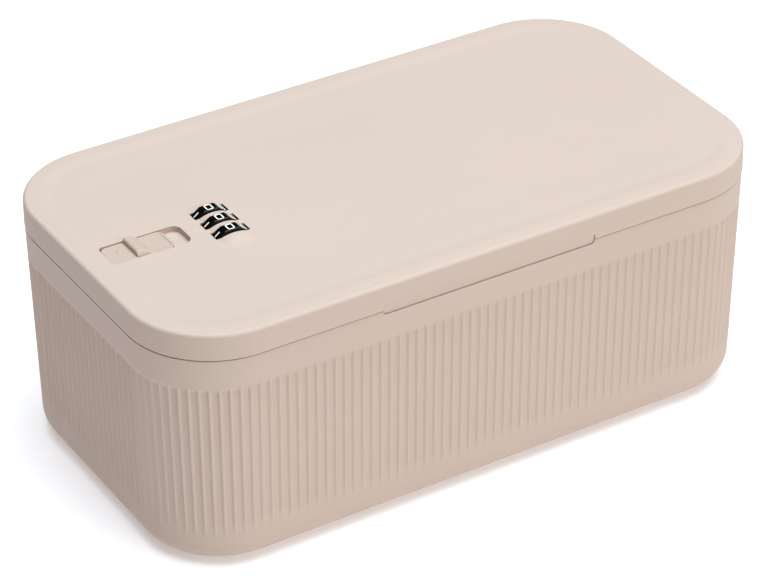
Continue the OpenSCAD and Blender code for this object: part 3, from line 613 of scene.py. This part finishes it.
tongue = prism(rounded(-LIP_L / 2, LIP_L / 2, LIP_LOW, SEAM_Z + LIP_ROUND + PAST,
                       (0, 0, LIP_ROUND, LIP_ROUND)), LIP_Y - LIP_IN, LIP_Y + LIP_T)
pocket_box = block(POCKET_X0 - POCKET_WALL, POCKET_X1 + POCKET_WALL,
                   POCKET_Y0 - POCKET_WALL, POCKET_Y1 + POCKET_WALL,
                   POCKET_UNDER, UNDER_Z + PANEL_DROP + POCKET_ROOT)
lid = carved(swept(lid_section(), plain_outline(36)), [pocket_box, tongue], "UNION")

recess = prism(rounded(-slot_x, slot_x, LIP_LOW - PAST, LIP_HIGH, (LIP_ROUND, LIP_ROUND, 0, 0)),
               LIP_Y - 2 * PAST, LIP_Y)
lid_cuts = [deeper_below(recess)]
for x in (-slot_x, LIP_L / 2):
    lid_cuts.append(block(x, x + LIP_GAP, LIP_Y - PAST, SKIRT_T + 2 * TUCK - CASE_W / 2,
                          SEAM_Z - PAST, LIP_HIGH - LIP_ROUND))
lid_cuts += [knuckle_room(x, BODY_KNUCKLE) for x in BODY_KNUCKLES]
lid_cuts.append(prism(rounded(POCKET_X0, POCKET_X1, POCKET_Y0, POCKET_Y1,
                              (POCKET_R, POCKET_LEFT_R, POCKET_LEFT_R, POCKET_R), 12),
                      POCKET_Z, CASE_H + PAST, "XY"))
for n in (-1, 0, 1):
    lid_cuts.append(rod(DIAL_R + DIAL_GAP, DIAL_W / 2 + DIAL_GAP,
                        DIAL_X, LOCK_Y + n * DIAL_PITCH, DIAL_Z, "Y", 96))
lid = carved(lid, lid_cuts)
soften(lid, PANEL_SOFT, 3, lambda e: all(v.co.z > (PANEL_Z - 0.01) * MM for v in e.verts), 45)
soften(lid, LIP_SOFT, 4, at_height(LIP_LOW), 45)

half = (DIAL_PITCH - DIAL_W) / 2 - DIAL_GAP - RIB_GAP
parts = [lid]
for n, near, far, high in ((-1.5, NEAR_RIB_FADE, 0, NEAR_RIB_H), (-0.5, 0, 0, RIB_H),
                           (0.5, 0, 0, RIB_H), (1.5, 0, FAR_RIB_FADE, FAR_RIB_H)):
    y = LOCK_Y + n * DIAL_PITCH
    parts.append(arched_rib(y - max(half, near), y + max(half, far), near, far, high))
parts += [knuckle(x, LID_KNUCKLE, LID_BORE) for x in LID_KNUCKLES]
piece("lid_moulding", joined(*parts), "lid", abs_cream, "cream_abs", "lid_shell")

# Slider
plate_x0, plate_x1 = POCKET_X0 + SLIDE_GAP, POCKET_X1 - SLIDE_TRAVEL
plate_y0, plate_y1 = POCKET_Y0 + SLIDE_GAP, POCKET_Y1 - SLIDE_GAP
plate_r = POCKET_R - SLIDE_GAP
grip_x0 = plate_x0 + GRIP_FROM_LEFT
plate = prism(rounded(plate_x0, plate_x1, plate_y0, plate_y1,
                      (plate_r, PLATE_LEFT_R, PLATE_LEFT_R, plate_r)),
              POCKET_Z + PLATE_LIFT, PLATE_TOP, "XY")
field = prism(rounded(grip_x0 + FIELD_FROM_GRIP, plate_x1 - FIELD_END,
                      plate_y0 + FIELD_SIDE, plate_y1 - FIELD_SIDE, (FIELD_R,) * 4),
              PLATE_TOP - FIELD_D, PLATE_TOP + PAST, "XY")
plate = soften(carved(plate, [field]), PLATE_SOFT, 3, at_height(PLATE_TOP), 45)


def grip_outline(t):
    """The thumb rib at a share of its height: steep on the left, and a ramp on the right"""
    return (grip_x0 + GRIP_LEAN * t + GRIP_BROW * t ** 9,
            grip_x0 + GRIP_TOP_L + GRIP_RAMP_L * (1 - t ** 1.5),
            plate_y0 + GRIP_FRONT + GRIP_FRONT_IN * t ** 1.8,
            plate_y1 - GRIP_REAR - GRIP_REAR_IN * t ** 6)


foot = grip_outline(0)
grip = prism(rounded(*foot, (GRIP_R, GRIP_LEFT_R, GRIP_LEFT_R, GRIP_R), 6),
             PLATE_TOP - GRIP_ROOT, PLATE_TOP - GRIP_STEP, "XY")
top = max(grip.faces, key=lambda f: f.calc_center_median().z)
for t in GRIP_LEVELS:
    made = bmesh.ops.extrude_face_region(grip, geom=[top])["geom"]
    top = next(g for g in made if isinstance(g, bmesh.types.BMFace))
    box = grip_outline(t)
    for v in top.verts:
        u = (v.co.x / MM - foot[0]) / (foot[1] - foot[0])
        w = (v.co.y / MM - foot[2]) / (foot[3] - foot[2])
        v.co = Vector((box[0] + u * (box[1] - box[0]), box[2] + w * (box[3] - box[2]),
                       PLATE_TOP + GRIP_H * t)) * MM
    foot = box
dome = [(DOT_R * math.cos(a), DOT_H * math.sin(a)) for a in (0.1, 0.4, 0.8, 1.2)]
dot = turned([(0, -2 * TUCK), (DOT_R, -2 * TUCK)] + dome + [(0, DOT_H)],
             plate_x0 + DOT_FROM_LEFT, LOCK_Y + DOT_OFF, PLATE_TOP, "Z", 24)
stem_x = plate_x0 + STEM_FROM_LEFT
stem = soften(block(stem_x, stem_x + STEM_L, LOCK_Y - STEM_W / 2, LOCK_Y + STEM_W / 2,
                    POCKET_UNDER - STEM_DOWN, POCKET_Z + 4 * TUCK), STEM_SOFT)
piece("slider_with_thumb_rib", joined(plate, grip, dot, stem), "slider", abs_slider,
      "cream_abs", "slider_button")

# Dials. Each numeral is drawn with a round pen on a square of side 1, its foot towards the slider
loop = [(0.12, 0), (0.88, 0), (1, 0.16), (1, 0.84), (0.88, 1), (0.12, 1), (0, 0.84), (0, 0.16),
        (0.12, 0)]
six = [(1, 1), (0.12, 1), (0, 0.85), (0, 0.15), (0.12, 0), (0.88, 0), (1, 0.15), (1, 0.42),
       (0.88, 0.55), (0, 0.55)]
DIGITS = [
    [loop],
    [[(0.5, 1), (0.5, 0)]],
    [[(0, 0.8), (0.2, 1), (0.8, 1), (1, 0.8), (1, 0.6), (0, 0.1), (0, 0), (1, 0)]],
    [[(0, 0.9), (0.2, 1), (0.8, 1), (1, 0.85), (1, 0.65), (0.8, 0.52), (0.4, 0.52)],
     [(0.8, 0.52), (1, 0.38), (1, 0.15), (0.8, 0), (0.2, 0), (0, 0.1)]],
    [[(0.75, 0), (0.75, 1), (0, 0.35), (0, 0.28), (1, 0.28)]],
    [[(0.95, 1), (0.1, 1), (0, 0.55), (0.8, 0.6), (1, 0.42), (1, 0.18), (0.8, 0), (0.2, 0),
      (0, 0.1)]],
    [six],
    [[(0, 1), (1, 1), (1, 0.9), (0.4, 0)]],
    [[(u, v * 0.48 + 0.52) for u, v in loop], [(u, v * 0.52) for u, v in loop]],
    [[(1 - u, 1 - v) for u, v in six]],
]


def numeral(strokes):
    """A numeral as a thin flat mesh at the origin, ready to be laid on its facet"""
    curve = bpy.data.curves.new("digit", "CURVE")
    curve.dimensions = "3D"
    curve.bevel_depth, curve.bevel_resolution = DIGIT_STROKE / 2 * MM, 2
    curve.use_fill_caps = True
    for points in strokes:
        closed = points[0] == points[-1]
        line = curve.splines.new("POLY")
        line.points.add(len(points) - 1 - closed)
        line.use_cyclic_u = closed
        for spot, (u, v) in zip(line.points, points):
            spot.co = ((u - 0.5) * DIGIT_W * MM, (v - 0.5) * DIGIT_H * MM, 0, 1)
    drawn = bpy.data.objects.new("digit", curve)
    bpy.context.scene.collection.objects.link(drawn)
    mesh = as_mesh(drawn)
    bpy.data.objects.remove(drawn)
    mesh.transform(Matrix.Diagonal((1, 1, DIGIT_FLAT, 1)))
    return mesh


for n in (1, 2, 3):
    y = LOCK_Y + (n - 2) * DIAL_PITCH
    turns = [math.radians(DIAL_STEP * (i + 0.5)) for i in range(DIAL_FACES)]
    ring = [(DIAL_X + DIAL_R * math.sin(turn), DIAL_Z + DIAL_R * math.cos(turn)) for turn in turns]
    wheel = soften(prism(ring, y - DIAL_W / 2, y + DIAL_W / 2), DIAL_SOFT, 3)
    piece(f"dial_wheel_black_{n}", wheel, f"dial_{n}", abs_black, "dial_black", f"dial_wheel_{n}")
    axle = Matrix.Translation(Vector((DIAL_X, y, DIAL_Z)) * MM)
    reading = Matrix.Rotation(math.radians(-90), 4, "Z")
    on_facet = Matrix.Translation((0, 0, DIAL_FLAT * MM)) @ reading
    digits = bmesh.new()
    for value, strokes in enumerate(DIGITS):
        mesh = numeral(strokes)
        mesh.transform(axle @ Matrix.Rotation(math.radians(-DIAL_STEP * value), 4, "Y") @ on_facet)
        digits.from_mesh(mesh)
        bpy.data.meshes.remove(mesh)
    made = as_object(f"dial_numerals_{n}", digits)
    finished_in(made, abs_white)
    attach(made, f"dial_{n}")

# Pieces that keep their CAD shape, by the start of their node's name
finishes = {"foot": rubber, "hinge_pin": zinc, "strike": zinc, "latch_cover": abs_cream,
            "cover_screws": zinc, "dial_carrier": abs_cream, "carrier_screws": zinc,
            "dial_shaft": zinc, "shaft_clips": spring, "detent": spring, "dial_sleeve": zinc,
            "latch_plate": zinc, "slider_screws": zinc, "reset_lever": pom_grey}
for name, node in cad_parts.items():
    for start, finish in finishes.items():
        if name.startswith(start):
            finished_in(node, finish)

# Floor
floor = bmesh.new()
bmesh.ops.create_grid(floor, x_segments=1, y_segments=1, size=4)
floor = as_object("floor", floor)
studio_white = bpy.data.materials.new("studio_white")
studio_white.use_nodes = True
paint = studio_white.node_tree.nodes["Principled BSDF"].inputs
paint["Base Color"].default_value = linear("#e6e0e0")
paint["Roughness"].default_value = 0.9
paint["Emission Color"].default_value = linear("#fbf9f9")
paint["Emission Strength"].default_value = 0.35
floor.data.materials.append(studio_white)

# Light: a wide soft box overhead, a smaller one in front on the right, and a faint fill all round
world = bpy.data.worlds.new("studio")
bpy.context.scene.world = world
world.use_nodes = True
room = world.node_tree.nodes["Background"].inputs
room["Color"].default_value = (1, 1, 1, 1)
room["Strength"].default_value = 0.03


def softbox(name, place, aim, width, height, power, colour):
    light = bpy.data.lights.new(name, "AREA")
    light.shape, light.size, light.size_y, light.energy = "RECTANGLE", width, height, power
    light.color = colour
    made = bpy.data.objects.new(name, light)
    made.location = place
    made.rotation_euler = (Vector(aim) - Vector(place)).to_track_quat("-Z", "Y").to_euler()
    bpy.context.scene.collection.objects.link(made)


softbox("overhead", place=(0.1, -0.1, 1.7), aim=(0, 0, 0.1), width=1.8, height=1.8,
        power=53, colour=(0.885, 1.0, 1.085))
softbox("front_right", place=(0.57, -1.77, 0.8), aim=(0, 0, 0.05), width=1.4, height=1.0,
        power=14.0, colour=(0.94, 0.985, 0.9))

# Camera
AZIMUTH, ELEVATION, ROLL = (math.radians(a) for a in (-31.34, 32.86, -0.423))
AIM, DISTANCE = (-7.748, -9.308, 54.0), 1292.0
back = Vector((math.sin(AZIMUTH) * math.cos(ELEVATION), -math.cos(AZIMUTH) * math.cos(ELEVATION),
               math.sin(ELEVATION)))
right = Vector((0, 0, 1)).cross(back).normalized()
up = back.cross(right)
camera = bpy.data.cameras.new("camera")
camera.sensor_width, camera.lens = 36.0, 153.3
camera.clip_start, camera.clip_end = 0.05, 20
view = bpy.data.objects.new("camera", camera)
view.location = (Vector(AIM) + back * DISTANCE) * MM
view.rotation_mode = "QUATERNION"
axes = Matrix((right * math.cos(ROLL) + up * math.sin(ROLL),
               up * math.cos(ROLL) - right * math.sin(ROLL), back))
view.rotation_quaternion = axes.transposed().to_quaternion()
bpy.context.scene.collection.objects.link(view)
bpy.context.scene.camera = view
bpy.context.scene.view_settings.view_transform = "Standard"
